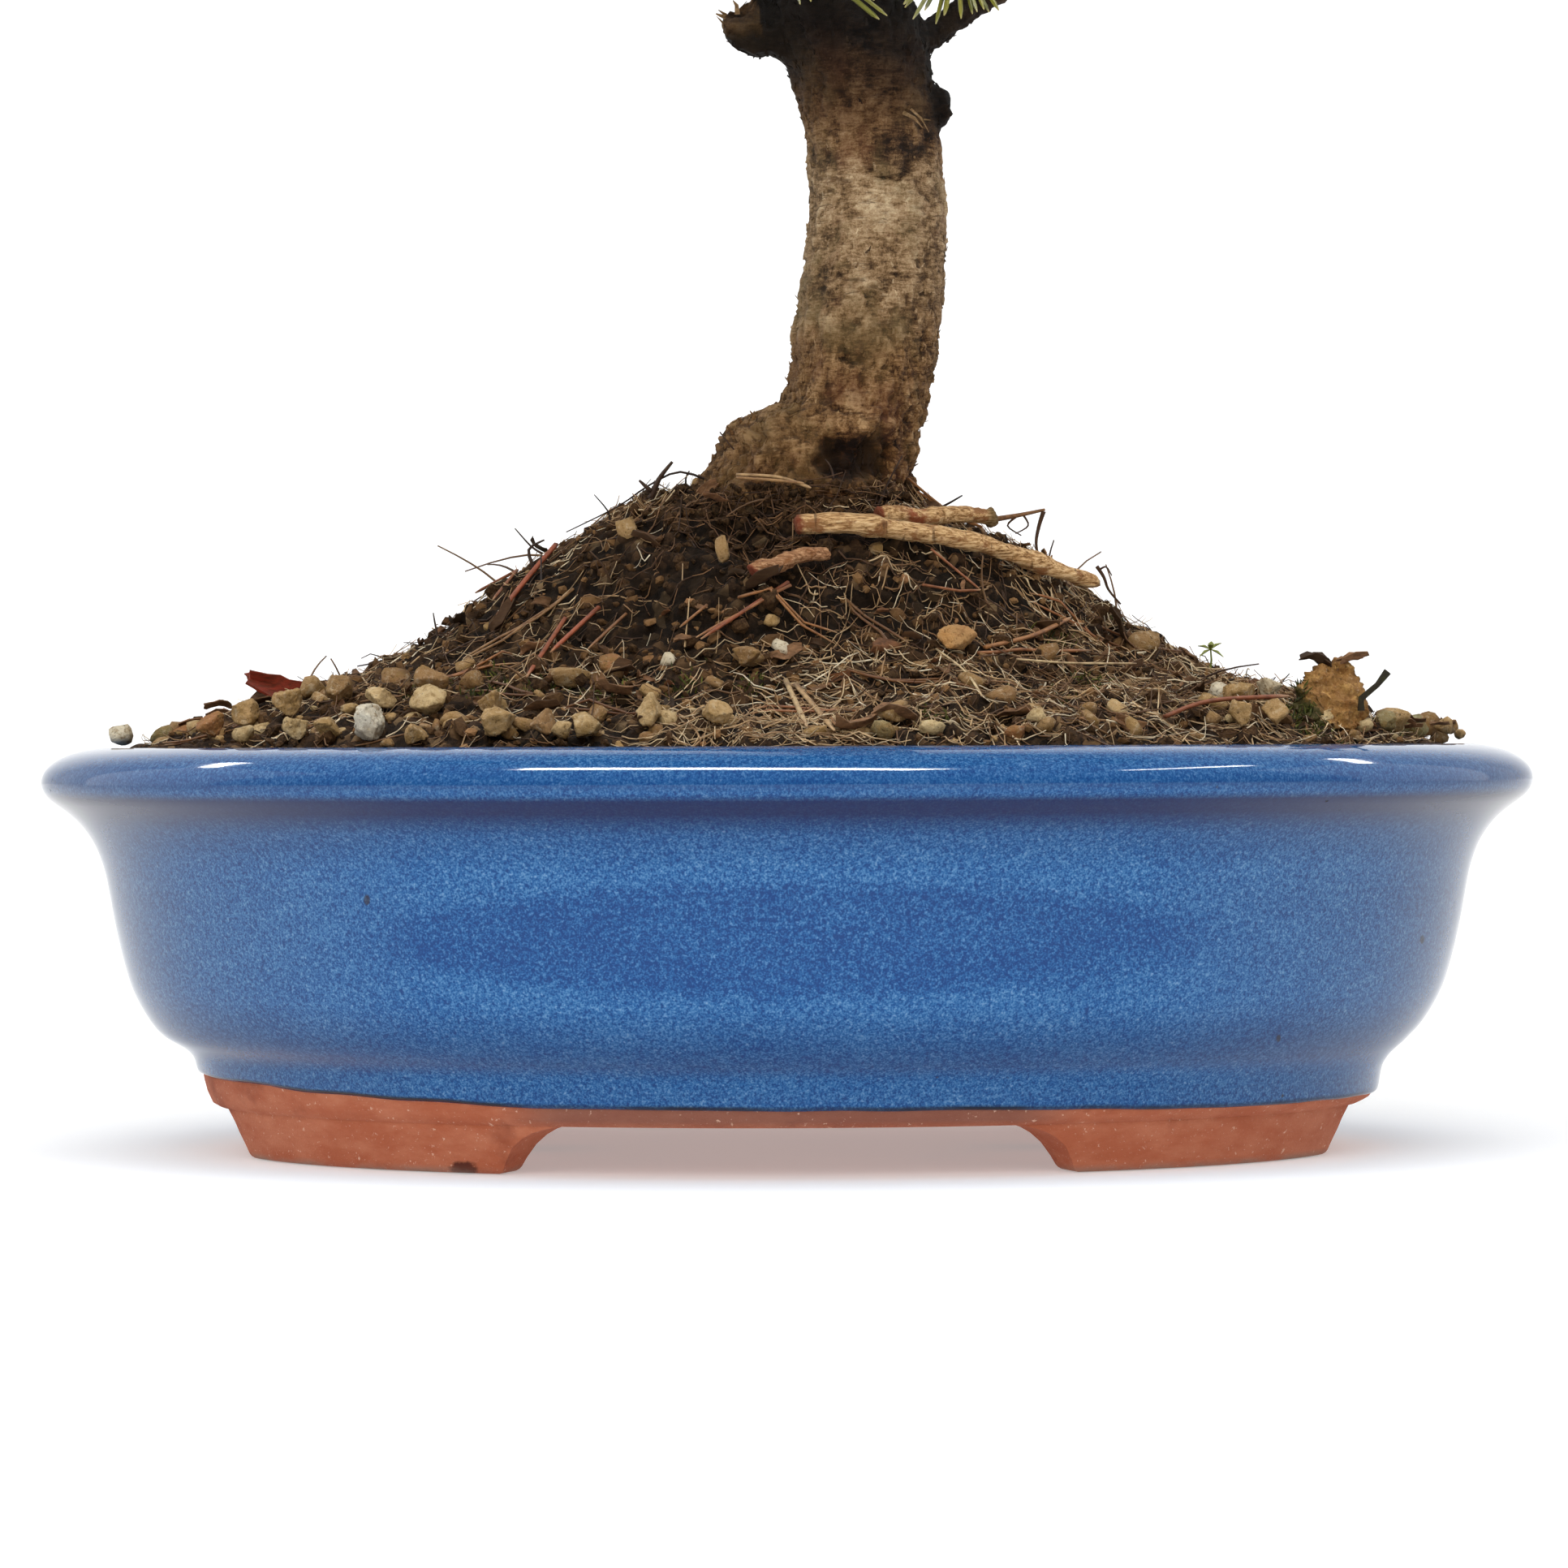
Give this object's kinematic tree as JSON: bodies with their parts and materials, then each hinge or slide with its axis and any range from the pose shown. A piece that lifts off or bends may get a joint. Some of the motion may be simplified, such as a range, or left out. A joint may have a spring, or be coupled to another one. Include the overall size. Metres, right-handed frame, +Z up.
{
  "type": "mugo pine bonsai in an oval pot",
  "caption": "Small pine tree with paired needles, rooted in a soil mound topped with gravel, in a glazed oval ceramic pot on low feet.",
  "frame": {"origin": "middle of the pot's footprint, on the surface that its feet stand on", "axes": "+Z up the trunk; +X along the oval pot's long side, to the right seen from the front; -Y towards the front"},
  "size_m": [0.4231, 0.3917, 0.5955],
  "materials": {
    "glazed_clay": "mottled blue gloss glaze over bare terracotta feet",
    "screen_plastic": "matte",
    "soil": "rough peat with rootlets",
    "bark": "flaked bark",
    "root_wood": "dry, fibrous",
    "needles": "waxy satin",
    "pale_stone": "rough",
    "rock": "rough"
  },
  "bodies": {
    "root": {"drainage_screen_left": "screen_plastic", "drainage_screen_right": "screen_plastic", "gravel_01": "pale_stone", "gravel_02": "pale_stone", "gravel_03": "pale_stone", "gravel_04": "pale_stone", "gravel_05": "pale_stone", "gravel_06": "pale_stone", "gravel_07": "pale_stone", "gravel_08": "pale_stone", "gravel_09": "pale_stone", "gravel_10": "pale_stone", "gravel_11": "pale_stone", "gravel_12": "pale_stone", "gravel_13": "pale_stone", "gravel_14": "pale_stone", "gravel_15": "pale_stone", "gravel_16": "pale_stone", "gravel_17": "pale_stone", "gravel_18": "pale_stone", "gravel_19": "pale_stone", "gravel_20": "pale_stone", "gravel_21": "pale_stone", "gravel_22": "pale_stone", "gravel_23": "pale_stone", "gravel_24": "pale_stone", "gravel_25": "pale_stone", "gravel_26": "pale_stone", "gravel_27": "pale_stone", "gravel_28": "pale_stone", "gravel_29": "pale_stone", "gravel_30": "pale_stone", "gravel_31": "pale_stone", "gravel_32": "pale_stone", "gravel_33": "pale_stone", "needle_spray_01": "needles", "needle_spray_02": "needles", "needle_spray_03": "needles", "needle_spray_04": "needles", "needle_spray_05": "needles", "needle_spray_06": "needles", "needle_spray_07": "needles", "needle_spray_08": "needles", "needle_spray_09": "needles", "needle_spray_10": "needles", "needle_spray_11": "needles", "needle_spray_12": "needles", "needle_spray_13": "needles", "needle_spray_14": "needles", "needle_spray_15": "needles", "needle_spray_16": "needles", "pot": "glazed_clay", "rock_large": "rock", "root_stick_broken": "root_wood", "root_stick_long": "root_wood", "root_stick_short": "root_wood", "soil": "soil", "stone_orange": "rock", "trunk": "bark"}
  },
  "joints": []
}
